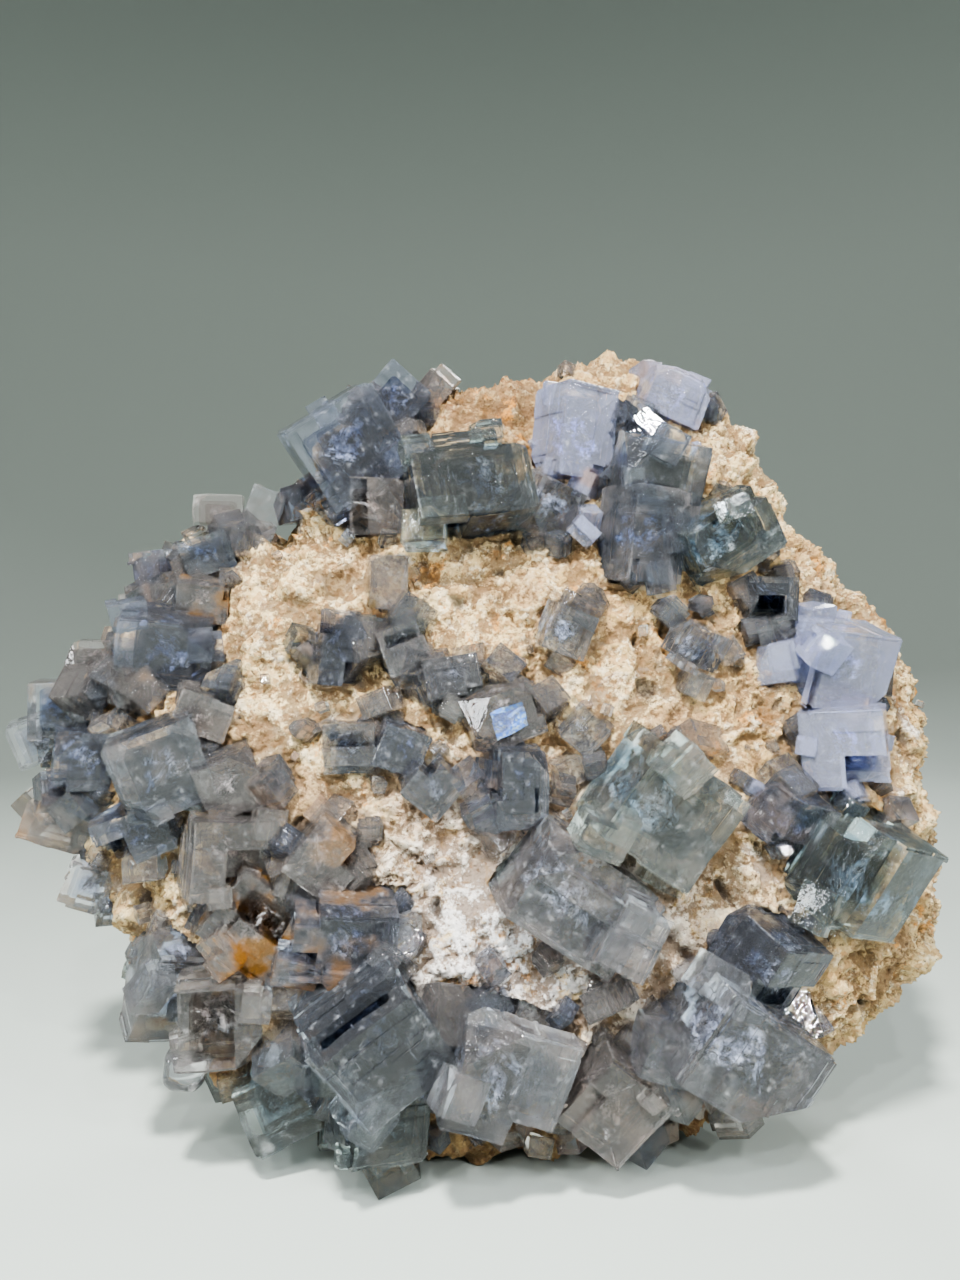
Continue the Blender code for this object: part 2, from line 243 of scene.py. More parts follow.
class Shader:
    """A material's node tree, with short calls for the nodes used here."""

    def __init__(self, name):
        self.material = bpy.data.materials.new(name)
        self.material.use_nodes = True
        self.tree = self.material.node_tree
        self.principled = self.tree.nodes["Principled BSDF"]

    def node(self, kind, **settings):
        made = self.tree.nodes.new(kind)
        for key, value in settings.items():
            setattr(made, key, value)
        return made

    def link(self, source, target):
        self.tree.links.new(source, target)

    def feed(self, socket, value):
        """Gives a socket a constant or links it to another node's output."""
        if isinstance(value, bpy.types.NodeSocket):
            self.link(value, socket)
        elif isinstance(value, tuple) and len(value) == 3 and socket.type == "RGBA":
            socket.default_value = (*value, 1.0)
        else:
            socket.default_value = value

    def attribute(self, name, output="Fac"):
        return self.node("ShaderNodeAttribute", attribute_name=name).outputs[output]

    def place(self):
        return self.node("ShaderNodeTexCoord").outputs["Object"]

    def math(self, operation, first, second=0.5, clamp=False):
        made = self.node("ShaderNodeMath", operation=operation, use_clamp=clamp)
        self.feed(made.inputs[0], first)
        self.feed(made.inputs[1], second)
        return made.outputs[0]

    def noise(self, vector, scale, detail=4.0, roughness=0.55, distortion=0.0):
        made = self.node("ShaderNodeTexNoise")
        self.feed(made.inputs["Vector"], vector)
        made.inputs["Scale"].default_value = scale
        made.inputs["Detail"].default_value = detail
        made.inputs["Roughness"].default_value = roughness
        made.inputs["Distortion"].default_value = distortion
        return made.outputs["Fac"]

    def cells(self, vector, scale, distance="EUCLIDEAN", feature="F1", output="Distance"):
        made = self.node("ShaderNodeTexVoronoi", distance=distance, feature=feature)
        self.feed(made.inputs["Vector"], vector)
        made.inputs["Scale"].default_value = scale
        return made.outputs[output]

    def band(self, value, low, high):
        """0 below low, 1 above high, smooth between."""
        made = self.node("ShaderNodeMapRange", interpolation_type="SMOOTHSTEP")
        self.feed(made.inputs["Value"], value)
        made.inputs["From Min"].default_value = low
        made.inputs["From Max"].default_value = high
        return made.outputs["Result"]

    def mix(self, share, first, second, blend="MIX"):
        made = self.node("ShaderNodeMix", data_type="RGBA", blend_type=blend)
        self.feed(made.inputs[0], share)
        self.feed(made.inputs[6], first)
        self.feed(made.inputs[7], second)
        return made.outputs[2]

    def blend(self, share, first, second):
        """Between two numbers."""
        made = self.node("ShaderNodeMix", data_type="FLOAT")
        self.feed(made.inputs[0], share)
        self.feed(made.inputs[2], first)
        self.feed(made.inputs[3], second)
        return made.outputs[0]

    def bump(self, height, distance, strength, normal=None):
        made = self.node("ShaderNodeBump")
        self.feed(made.inputs["Height"], height)
        made.inputs["Distance"].default_value = distance
        made.inputs["Strength"].default_value = strength
        if normal is not None:
            self.link(normal, made.inputs["Normal"])
        return made.outputs["Normal"]

    def set(self, **inputs):
        for key, value in inputs.items():
            self.feed(self.principled.inputs[key.replace("_", " ")], value)


# ---------------------------------------------------------------- mesh helpers

def link_object(name, mesh):
    """A new object in the scene, with this mesh."""
    made = bpy.data.objects.new(name, mesh)
    bpy.context.scene.collection.objects.link(made)
    return made


def coordinates(mesh):
    """A mesh's points as an array, one row each."""
    points = np.empty(len(mesh.vertices) * 3, np.float32)
    mesh.vertices.foreach_get("co", points)
    return points.reshape(-1, 3)


def write_attribute(mesh, name, values):
    """Gives each point of a mesh a number, or three, that a material can read."""
    kind = "FLOAT_VECTOR" if values.ndim == 2 else "FLOAT"
    made = mesh.attributes.new(name, kind, "POINT")
    made.data.foreach_set("vector" if values.ndim == 2 else "value", values.astype(np.float32).ravel())


def voxel_remesh(obj, size):
    """Rebuilds an object's mesh from small even cells."""
    modifier = obj.modifiers.new("remesh", "REMESH")
    modifier.mode = "VOXEL"
    modifier.voxel_size = size
    seen = obj.evaluated_get(bpy.context.evaluated_depsgraph_get())
    result = bpy.data.meshes.new_from_object(seen)
    obj.modifiers.clear()
    obj.data = result


def piece_from(bm, name, materials):
    """Turns a bmesh into a named piece that rides with the stone."""
    bmesh.ops.recalc_face_normals(bm, faces=bm.faces[:])
    mesh = bpy.data.meshes.new(name)
    bm.to_mesh(mesh)
    bm.free()
    for material in materials:
        mesh.materials.append(material)
    piece = link_object(name, mesh)
    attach(piece, "root")
    return piece


# ---------------------------------------------------------------- materials

def fluorite_material(tint):
    """The glassy outside of a crystal: clear, with pale edges, partly rubbed and partly a painted highlight,
    frosted places and rust in the cracks.
    """
    look = TINTS[tint]
    s = Shader("fluorite_" + tint)
    lattice = s.attribute("lattice", "Vector")
    fine = s.noise(lattice, 0.75, 5.0, 0.65)
    # Pale edges, partly rubbed wear and partly a painted highlight.
    worn = s.math("MULTIPLY", s.band(s.attribute("edge"), 0.965, 1.0), s.band(fine, 0.42, 0.56))
    misty = s.band(s.noise(lattice, 0.34, 8.0, 0.74, 0.2), 0.54, 0.74)
    frosted = s.math("MULTIPLY", misty, s.attribute("frost"))
    rust = s.math("MULTIPLY", s.band(s.noise(lattice, 0.07, 5.0, 0.6), 0.46, 0.60), s.attribute("stain"))
    depth = s.band(s.noise(lattice, 0.09, 3.0, 0.5), 0.3, 0.7)
    colour = s.mix(s.math("MULTIPLY", depth, 0.35), look["glass"], look["zone"])
    colour = s.mix(rust, colour, RUST_TINT)
    colour = s.mix(frosted, colour, FROST_TINT)
    colour = s.mix(worn, colour, WORN_AND_GLINT_TINT)
    opaque = s.math("ADD", s.math("MULTIPLY", worn, 0.5), s.math("MULTIPLY", frosted, 0.24), True)
    opaque = s.math("ADD", opaque, s.math("MULTIPLY", rust, 0.15), True)
    through = s.math("MULTIPLY", s.math("SUBTRACT", 1.0, opaque), look["clear"])
    rough = s.blend(frosted, s.blend(s.band(fine, 0.5, 0.75), 0.01, 0.08), 0.30)
    ripple = s.bump(s.noise(lattice, 0.28, 4.0, 0.55), 0.30 * MM, 0.5)
    pits = s.bump(s.band(fine, 0.55, 0.75), 0.06 * MM, 0.5, ripple)
    s.set(Base_Color=colour, Roughness=rough, Transmission_Weight=through, IOR=FLUORITE_IOR, Normal=pits)
    return s.material


def zone_material(name, tint):
    """A colour zone inside a crystal: it darkens what is seen through it and doesn't bend the light."""
    s = Shader(name)
    lattice = s.attribute("lattice", "Vector")
    cloud = s.band(s.noise(lattice, 0.10, 5.0, 0.55), 0.46, 0.66)
    streak = s.node("ShaderNodeMapping")
    s.feed(streak.inputs["Vector"], lattice)
    streak.inputs["Rotation"].default_value = STREAK_TURN
    streak.inputs["Scale"].default_value = STREAK_SCALE
    wisps = s.band(s.noise(streak.outputs["Vector"], 0.30, 9.0, 0.76, 0.3), 0.575, 0.70)
    colour = s.mix(s.math("MULTIPLY", cloud, 0.7), tint, CLOUD_TINT)
    colour = s.mix(wisps, colour, WISP_TINT)
    through = s.math("SUBTRACT", 1.0, s.math("MULTIPLY", wisps, 0.45))
    s.set(Base_Color=colour, Roughness=0.08, Transmission_Weight=through, IOR=1.0, Specular_IOR_Level=0.0)
    return s.material


def veil_material():
    """A healed crack inside a crystal: a thin sheet with bright feathered wisps."""
    s = Shader("veil")
    lattice = s.attribute("lattice", "Vector")
    feather = s.band(s.noise(lattice, 0.34, 9.0, 0.80, 0.2), 0.47, 0.62)
    milky = s.math("MULTIPLY", feather, s.band(s.attribute("edge"), 0.0, 0.6))
    through = s.math("SUBTRACT", 1.0, milky)
    s.set(Base_Color=VEIL_TINT, Roughness=0.16, Transmission_Weight=through, IOR=1.0, Specular_IOR_Level=0.0)
    return s.material


def glint_material():
    """A crack that flashes blue, as a thin film does."""
    s = Shader("blue_glint")
    lattice = s.attribute("lattice", "Vector")
    flecks = s.band(s.noise(lattice, 0.9, 5.0, 0.7), 0.45, 0.62)
    colour = s.mix(flecks, *GLINT_TINTS)
    s.set(Base_Color=colour, Roughness=0.12, Metallic=0.75)
    return s.material


def matrix_material():
    """Cream to tan granular rock, with painted light on the lower middle and a darker tan top;
    painted shade underneath, low in the relief, in pits and behind crystals.
    """
    tints = ROCK_TINTS
    s = Shader("matrix_stone")
    here = s.place()
    broad = s.noise(here, 24.0, 4.0, 0.6)
    flakes = s.noise(here, 170.0, 7.0, 0.74, 0.5)
    grain = s.noise(here, 750.0, 4.0, 0.7)
    crumb = s.node("ShaderNodeSeparateColor")
    s.feed(crumb.inputs[0], s.cells(here, 620.0, "EUCLIDEAN", "F1", "Color"))
    swing = s.math("MULTIPLY", s.math("SUBTRACT", grain, 0.5), 1.3)
    crest = s.band(s.math("ADD", s.attribute("height"), swing), 0.36, 0.62)
    patches = s.noise(here, 42.0, 5.0, 0.65, 0.6)

    colour = s.mix(s.band(broad, 0.40, 0.60), tints["ochre"], tints["tan"])
    colour = s.mix(s.math("MULTIPLY", s.band(flakes, 0.48, 0.62), 0.85), colour, tints["cream"])
    colour = s.mix(s.math("MULTIPLY", s.band(crumb.outputs[1], 0.66, 0.74), 0.75), colour, tints["crumb"])
    colour = s.mix(s.math("MULTIPLY", s.band(patches, 0.60, 0.68), 0.7), colour, tints["chalk"])
    colour = s.mix(s.math("MULTIPLY", s.band(patches, 0.46, 0.38), 0.8), colour, tints["earth"])
    # Painted light: the lower middle is painted lighter, where light falls on it.
    pale = s.math("MULTIPLY", s.attribute("painted_light"), s.band(flakes, 0.36, 0.50))
    colour = s.mix(pale, colour, tints["painted_light"])
    # The top's darkening is the rock's own colour; the same darkening of the underside is painted shade.
    browned_and_shaded = s.math("MULTIPLY", s.attribute("brown_and_under_shade"), s.band(s.math("ADD", broad, flakes), 0.62, 1.0))
    colour = s.mix(browned_and_shaded, colour, tints["crown"], "MULTIPLY")
    lumpy = s.band(s.noise(here, 115.0, 7.0, 0.72, 0.4), 0.50, 0.58)
    clods = s.math("MULTIPLY", s.attribute("brown_and_under_shade"), lumpy)
    colour = s.mix(clods, colour, tints["clod"], "MULTIPLY")
    rust = s.band(s.noise(here, 66.0, 6.0, 0.70), 0.58, 0.65)
    colour = s.mix(s.math("MULTIPLY", rust, 0.8), colour, tints["rust"])
    specks = s.band(s.noise(here, 520.0, 4.0, 0.65), 0.59, 0.66)
    colour = s.mix(s.math("MULTIPLY", specks, 0.85), colour, tints["speck"])
    # Painted shade: the lower parts of the relief are darkened.
    deep = s.mix(0.78, colour, tints["crack"])
    colour = s.mix(crest, deep, colour)
    # Painted shade: nearly black in pits and behind crystals.
    colour = s.mix(s.attribute("pit_and_socket_shade"), colour, tints["pit_and_socket_shade"])
    crumbs = s.bump(crumb.outputs[0], 0.8 * MM, 0.6)
    lumps = s.bump(flakes, 2.4 * MM, 1.0, crumbs)
    normal = s.bump(grain, 1.6 * MM, 1.0, lumps)
    s.set(Base_Color=colour, Roughness=s.blend(grain, 0.95, 0.70), Normal=normal)
    return s.material


# ---------------------------------------------------------------- reading the CAD crystals

def crystal_axes(mesh):
    """The three directions that a crystal's own flat faces look in, from the largest of them."""
    areas = {}
    for polygon in mesh.polygons:
        way = polygon.normal
        lead = max(way, key=abs)
        if lead < 0:
            way = -way
        key = tuple(round(c, 2) for c in way)
        areas[key] = areas.get(key, 0.0) + polygon.area
    ways = sorted(areas, key=areas.get, reverse=True)[:MAIN_FACES]
    best = (0.0, None)
    for first in ways:
        for second in ways:
            if abs(Vector(first).dot(Vector(second))) > SQUARE:
                continue
            third = Vector(first).cross(Vector(second)).normalized()
            last = max(ways, key=lambda way: abs(Vector(way).dot(third)))
            total = areas[first] + areas[second]
            if abs(Vector(last).dot(third)) > PARALLEL:
                total += areas[last]
            if total > best[0]:
                best = (total, (Vector(first).normalized(), Vector(second).normalized()))
    one, two = best[1]
    two = (two - one * one.dot(two)).normalized()
    return Matrix((one, two, one.cross(two))).transposed()


def shape_of(node):
    """A CAD crystal's own axes, its middle and half its extents along them."""
    world = coordinates(NODES[node].data)
    axes = crystal_axes(NODES[node].data)
    local = world @ np.array(axes)
    low, high = local.min(0), local.max(0)
    return axes, Vector((low + high) / 2), Vector((high - low) / 2)


def middle_of(node):
    """Where a CAD crystal is in the frame."""
    world = coordinates(NODES[node].data)
    return Vector((world.min(0) + world.max(0)) / 2)


def corner_below(node):
    """The lower left end of a named crystal, at the middle of its depth."""
    low, high = (Vector(corner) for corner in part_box(node))
    return Vector((low.x, (low.y + high.y) / 2, low.z))


# ---------------------------------------------------------------- crystals

def step_places(half, rng):
    """Along one axis, where the growth steps lie near both faces and where steps may end between them."""
    step = 2 * half * STEP_SHARE
    near = [half - step * level * rng.uniform(*STEP_JITTER) for level in range(LEVELS)]
    far = [-half + step * level * rng.uniform(*STEP_JITTER) for level in range(LEVELS)]
    between = [half * rng.uniform(-CUT_REACH, CUT_REACH) for _ in range(CUTS)]
    return sorted(near + far + between)


def random_span(rng, count, least):
    """A run of cells at least this many long."""
    length = rng.randint(least, count)
    start = rng.randint(0, count - length)
    return slice(start, start + length)


def grown_cells(shape, rng, notches):
    """Which cells of the step grid are crystal: mosaic steps on each face, and notches at some edges."""
    solid = np.ones(shape, bool)
    for axis in range(3):
        others = [shape[(axis + 1) % 3], shape[(axis + 2) % 3]]
        for side in (0, 1):
            sunk = np.full(others, 2)
            for _ in range(STEP_PATCHES):
                patch = tuple(random_span(rng, count, max(3, count // 4)) for count in others)
                sunk[patch] += rng.choice((-1, -1, 1))
            sunk = np.clip(sunk, 0, LEVELS - 1)
            for level in range(LEVELS - 1):
                cells = np.moveaxis(solid, (axis, (axis + 1) % 3, (axis + 2) % 3), (0, 1, 2))
                cells[level if side == 0 else -1 - level] &= sunk <= level
    for _ in range(notches):
        axis = rng.randrange(3)
        span = [slice(None)] * 3
        for other in ((axis + 1) % 3, (axis + 2) % 3):
            reach = rng.randint(LEVELS, LEVELS + 2)
            span[other] = slice(0, reach) if rng.random() < 0.5 else slice(-reach, None)
        span[axis] = random_span(rng, shape[axis], shape[axis] // 4)
        solid[tuple(span)] = False
    return solid


def close_diagonals(solid):
    """Fills a cell wherever two others would touch only along an edge, so that the solid stays one body."""
    for _ in range(3):
        for axis in range(3):
            cells = np.moveaxis(solid, axis, 0)
            a, b = cells[:, :-1, :-1], cells[:, 1:, :-1]
            c, d = cells[:, :-1, 1:], cells[:, 1:, 1:]
            b |= a & d & ~c
            a |= b & c & ~d
    return solid


def cell_faces(solid):
    """The corners, as grid numbers, of every face between crystal and air."""
    padded = np.pad(solid, 1)
    faces = []
    for axis in range(3):
        one, two = (axis + 1) % 3, (axis + 2) % 3
        cells = np.moveaxis(padded, (axis, one, two), (0, 1, 2)).astype(np.int8)
        change = cells[1:] - cells[:-1]
        for sign in (-1, 1):
            found = np.argwhere(change == sign)
            corners = np.zeros((len(found), 4, 3), int)
            ring = ((0, 0), (1, 0), (1, 1), (0, 1)) if sign < 0 else ((0, 0), (0, 1), (1, 1), (1, 0))
            for index, (u, v) in enumerate(ring):
                corners[:, index, axis] = found[:, 0]
                corners[:, index, one] = found[:, 1] - 1 + u
                corners[:, index, two] = found[:, 2] - 1 + v
            faces.append(corners)
    return np.concatenate(faces)


def stepped_crystal(half, rng, notches):
    """A crystal's stepped body about its middle, as a bmesh."""
    places = [np.array(step_places(half[axis], rng)) for axis in range(3)]
    shape = tuple(len(row) - 1 for row in places)
    faces = cell_faces(close_diagonals(grown_cells(shape, rng, notches)))
    keys, index = np.unique(faces.reshape(-1, 3), axis=0, return_inverse=True)
    bm = bmesh.new()
    verts = [bm.verts.new([places[axis][key[axis]] for axis in range(3)]) for key in keys]
    for face in index.reshape(-1, 4):
        bm.faces.new([verts[corner] for corner in face])
    return bm


def cleave_corners(bm, half, rng, count):
    """Breaks corners off along the octahedral planes, as fluorite splits."""
    for _ in range(count):
        way = Vector([rng.choice((-1, 1)) for _ in range(3)])
        corner = Vector([way[axis] * half[axis] for axis in range(3)])
        depth = rng.uniform(*CLEAVE_DEPTHS) * min(half) * 2
        tilt = Vector([way[axis] * rng.uniform(*CLEAVE_TILT) for axis in range(3)]).normalized()
        made = bmesh.ops.bisect_plane(bm, geom=bm.verts[:] + bm.edges[:] + bm.faces[:], dist=1e-7,
                                      plane_co=corner - tilt * depth, plane_no=tilt, clear_outer=True)
        rim = [item for item in made["geom_cut"] if isinstance(item, bmesh.types.BMEdge)]
        bmesh.ops.holes_fill(bm, edges=rim, sides=0)


def wear_crystal(points, size, seed):
    """Makes the faces wave a little, as real ones do."""
    offset = Vector((seed * 7.3, seed * 3.1, seed * 5.7))
    moved = points.copy()
    for index, point in enumerate(points):
        place = Vector(point)
        wave = noise.noise_vector(place / (WAVE_LENGTH * size) + offset)
        moved[index] = place + wave * WAVE_HEIGHT * size
    return moved


def edge_nearness(points, half):
    """1 on the edges of the crystal's own box, less towards its middle, and 0 outside it."""
    share = np.abs(points) / np.array(half)
    return np.sort(share, axis=1)[:, 1] * (share.max(1) < 1.001)


def finish_crystal(mesh, points, near, axes, middle, number, habit):
    """Writes what the shader reads, and puts the mesh in its place. habit is (stain, frost)."""
    count = len(points)
    write_attribute(mesh, "lattice", points / MM + number * 40.0)
    if near is not None:
        write_attribute(mesh, "edge", near)
    write_attribute(mesh, "stain", np.full(count, habit[0]))
    write_attribute(mesh, "frost", np.full(count, habit[1]))
    placed = (points + np.array(middle)) @ np.array(axes).T
    mesh.vertices.foreach_set("co", placed.astype(np.float32).ravel())


def add_companions(bm, half, rng):
    """Smaller crystals grown into a large one at its edges, nearly parallel to it."""
    for _ in range(COMPANIONS):
        part_half = half * rng.uniform(*COMPANION_SHARES)
        part = stepped_crystal(part_half, rng, rng.randint(0, 2))
        cleave_corners(part, part_half, rng, 1)
        corner = Vector([rng.choice((-1, 1)) * side for side in half])
        corner[rng.randrange(3)] *= rng.uniform(-0.7, 0.7)
        lean = [math.radians(rng.uniform(-COMPANION_LEAN, COMPANION_LEAN)) for _ in range(3)]
        turn = Euler(lean).to_matrix()
        moved = {vert: bm.verts.new(turn @ vert.co + corner * COMPANION_SEAT) for vert in part.verts}
        for face in part.faces:
            bm.faces.new([moved[vert] for vert in face.verts])
        part.free()


def make_zones(node, material, shape, number, rng):
    """Nested colour zones, each a rounded block parallel to the crystal's faces."""
    axes, middle, half = shape
    bm = bmesh.new()
    for share in ZONE_SHARES:
        made = bmesh.ops.create_cube(bm, size=2.0)
        size = Vector([side * share * rng.uniform(*ZONE_JITTER) for side in half])
        bmesh.ops.scale(bm, vec=size, verts=made["verts"])
        drift = Vector([rng.uniform(-ZONE_DRIFT, ZONE_DRIFT) * side for side in half])
        bmesh.ops.translate(bm, vec=drift, verts=made["verts"])
    rounding = ZONE_ROUNDING * min(half)
    bmesh.ops.bevel(bm, geom=bm.edges[:], offset=rounding, segments=3, profile=0.5, affect="EDGES")
    piece = piece_from(bm, node + "_zones", [material])
    points = coordinates(piece.data)
    finish_crystal(piece.data, points, np.zeros(len(points)), axes, middle, number, (0.0, 0.0))


def make_veils(node, material, shape, number, rng):
    """Healed cracks, thin sheets with ragged outlines along the octahedral planes."""
    axes, middle, half = shape
    bm = bmesh.new()
    fade = bm.verts.layers.float.new("edge")
    for _ in range(rng.randint(*VEIL_COUNTS)):
        reach = min(half) * rng.uniform(*VEIL_REACH)
        way = Vector([rng.choice((-1, 1)) * rng.uniform(0.7, 1.3) for _ in range(3)]).normalized()
        turn = way.to_track_quat("Z", "Y").to_matrix()
        centre = Vector([rng.uniform(-VEIL_SPREAD, VEIL_SPREAD) * side for side in half])
        made = bmesh.ops.create_cone(bm, cap_ends=True, cap_tris=True, segments=VEIL_RIM, radius1=reach,
                                     radius2=reach, depth=VEIL_THICKNESS)
        for vert in made["verts"]:
            out = vert.co.xy.length / reach
            vert[fade] = 1.0 - out
            ragged = noise.noise(vert.co.xyz / reach * 2.1 + centre / MM) * 0.7 + 0.9
            bend = (vert.co.x / reach) ** 2 * 0.10 * reach
            torn = Vector((vert.co.x * ragged, vert.co.y * ragged, vert.co.z + bend))
            vert.co = turn @ torn + centre
    piece = piece_from(bm, node + "_veils", [material])
    finish_crystal(piece.data, coordinates(piece.data), None, axes, middle, number, (0.0, 0.0))


def make_crystal(node, glass, zone, veil, number):
    """Rebuilds one named crystal from its CAD solid, with colour zones and veils inside a large one."""
    axes, middle, half = shape_of(node)
    size = 2 * sorted(half)[1]
    rng = random.Random(number * 31 + 5)
    habit = (STAINS.get(node, rng.choice((0.0, 0.0, 0.25))), rng.choice((0.3, 0.6, 0.9)))
    bm = stepped_crystal(half, rng, rng.randint(1, 4))
    cleave_corners(bm, half, rng, rng.randint(1, 3))
    if size > COMPANY_LEAST:
        add_companions(bm, half, rng)
    piece = piece_from(bm, node + "_crystal", [glass])
    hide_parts(node)
    points = coordinates(piece.data)
    near = edge_nearness(points, half)
    finish_crystal(piece.data, wear_crystal(points, size, number), near, axes, middle, number, habit)
    if size > ZONE_LEAST:
        make_zones(node, zone, (axes, middle, half), number, rng)
        make_veils(node, veil, (axes, middle, half), number, rng)


# ---------------------------------------------------------------- small crystals

def small_blocks(rng, edge):
    """One small crystal: one to four sharp parallel blocks that share a middle, some with a broken corner."""
    bm = bmesh.new()
    sides = Vector((edge, edge * rng.uniform(0.75, 1.1), edge * rng.uniform(0.8, 1.3)))
    for block in range(1 if edge < SINGLE_BLOCK else rng.choice((1, 2, 3, 4))):
        share = Vector([1.0 if block == 0 else rng.uniform(0.5, 1.05) for _ in range(3)])
        made = bmesh.ops.create_cube(bm, size=1.0)
        bmesh.ops.scale(bm, vec=Vector([a * b for a, b in zip(sides, share)]), verts=made["verts"])
        if block:
            shift = Vector([rng.uniform(-0.28, 0.28) * side for side in sides])
            bmesh.ops.translate(bm, vec=shift, verts=made["verts"])
    bmesh.ops.bevel(bm, geom=bm.edges[:], offset=0.02 * edge, segments=1, affect="EDGES")
    if rng.random() < 0.5:
        cleave_corners(bm, sides / 2, rng, 1)
    return bm


def small_crystals(name, spots, tints, seed):
    """Crystals at spots on the rock, joined into one piece. A spot is (point, outward way, edge, tint)."""
    rng = random.Random(seed)
    whole = bmesh.new()
    layers = {kind: whole.verts.layers.float.new(kind) for kind in ("stain", "frost")}
    lattice = whole.verts.layers.float_vector.new("lattice")
    for index, (point, way, edge, tint) in enumerate(spots):
        part = small_blocks(rng, edge)
        lean = way.to_track_quat("Z", "Y").to_matrix().to_4x4()
        turn = Euler([math.radians(rng.uniform(-45, 45)) for _ in range(3)]).to_matrix().to_4x4()
        place = Matrix.Translation(point + way * edge * rng.uniform(-0.1, 0.28)) @ lean @ turn
        stain, frost = rng.choice((0.0, 0.0, 0.0, 0.0, 0.5)), rng.choice((0.0, 0.15, 0.3))
        moved = {}
        for vert in part.verts:
            made = whole.verts.new(place @ vert.co)
            made[lattice] = vert.co / MM + Vector((index * 17.0, seed * 5.0, 0.0))
            made[layers["stain"]] = stain
            made[layers["frost"]] = frost
            moved[vert] = made
        for face in part.faces:
            whole.faces.new([moved[vert] for vert in face.verts]).material_index = tint
        part.free()
    return piece_from(whole, name, tints)


def rock_tree():
    """The CAD rock, for finding where its face is."""
    mesh = NODES[ROCK].data
    corners = [vert.co for vert in mesh.vertices]
    return BVHTree.FromPolygons(corners, [face.vertices for face in mesh.polygons])


def face_spot(tree, x, z):
    """The point of the rock's face straight behind (x, z), and which way it looks, or None."""
    hit, way, _, _ = tree.ray_cast(Vector((x, CAD_BOX[0][1] - IN_FRONT, z)), Vector((0, 1, 0)))
    if hit is None or hit.z < LOWEST_CRYSTAL:
        return None
    return hit, way


def scatter_small_crystals(materials):
    """One joined piece of small crystals round each group of named ones, and one over the whole face."""
    tree = rock_tree()
    kinds = list(TINTS)
    used = [materials["fluorite_" + kind] for kind in kinds]
    for seed, (hosts, count, reach, least, most, tints) in enumerate(CLUSTERS):
        rng = random.Random(seed + 100)
        spots = []
        for host in hosts:
            middle, size = middle_of(host), 2 * sorted(shape_of(host)[2])[1]
            for _ in range(count):
                angle = rng.uniform(0, 2 * math.pi)
                out = size * rng.uniform(0.45, 0.5 * reach + 0.15)
                found = face_spot(tree, middle.x + out * math.cos(angle), middle.z + out * math.sin(angle))
                edge = least + (most - least) * rng.random() ** 2.0
                if found:
                    spots.append((found[0], found[1], edge * MM, kinds.index(rng.choice(tints))))
        small_crystals("small_by_" + hosts[0], spots, used, seed)


# ---------------------------------------------------------------- matrix

def crystal_depth(points):
    """For each rock point, 1 in a crystal's socket and 0 in the open, and the socket's painted shade."""
    inside = np.zeros(len(points))
    shade = np.zeros(len(points))
    for node in CRYSTALS:
        axes, middle, half = shape_of(node)
        local = np.abs(points @ np.array(axes) - np.array(middle)) - np.array(half)
        near = np.clip((0.9 * MM - local.max(1)) / (0.8 * MM), 0, 1)
        inside = np.maximum(inside, near)
        shade = np.maximum(shade, near * SOCKET_SHADES[SLOTS[node]])
    return inside, shade


def rock_relief(place):
    """Height of the broken surface, how far up a crest it is, and how deep in a pit, for a place in mm."""
    warped = place + noise.noise_vector(place / 11.0) * 4.0
    lumps = noise.fractal(place / 30.0, 0.9, 2.0, 3)
    block = noise.voronoi(warped / 17.0)[0]
    facet = min(block[1] - block[0], 0.45)
    ledge = math.floor(noise.noise(warped / 13.0) * 5.0) / 5.0
    rough = noise.fractal(warped / 8.5, 0.5, 2.2, 5)
    grains = noise.voronoi(place / 2.3)[0]
    crumbs = min(0.45, grains[1] - grains[0])
    coarse = 0.6 + 0.7 * noise.noise(place / 21.0 + Vector((1.0, 8.0, 6.0)))
    pit = max(0.0, noise.noise(warped / 8.0 + Vector((9.0, 2.0, 4.0))) - 0.46)
    lift = lumps * 2.4 + facet * 4.0 + ledge * 3.4 + (rough * 4.2 + crumbs * 2.2) * coarse - 2.0 - pit * 13.0
    crest = 0.43 + 0.42 * rough + 0.5 * (crumbs - 0.2) * coarse + 0.2 * facet
    return lift, crest, min(0.8, pit * 6.0)


def patch_share(place, patch):
    """1 at the middle of a patch of the rock's face, falling off smoothly round it."""
    (x, z), (wide, tall) = patch
    return math.exp(-((place.x - x) / wide) ** 2 - ((place.z - z) / tall) ** 2)


def rock_fields(points):
    """For each rock point: how far it moves in mm, how high it is in the relief, how deep in a pit,
    how much painted light it gets, and how much it is browned at the top and painted darker as shade
    underneath."""
    rows = []
    for point in points:
        place = Vector(point) / MM
        # Painted shade: the rock is darkened towards the bottom.
        under = min(1.0, max(0.0, (UNDER_SHADE_HEIGHT - place.z) / UNDER_FADE))
        brown_and_under_shade = min(1.0, patch_share(place, BROWN_TOP) + under)
        rows.append((*rock_relief(place), patch_share(place, LIT_PATCH), brown_and_under_shade))
    return np.array(rows).T


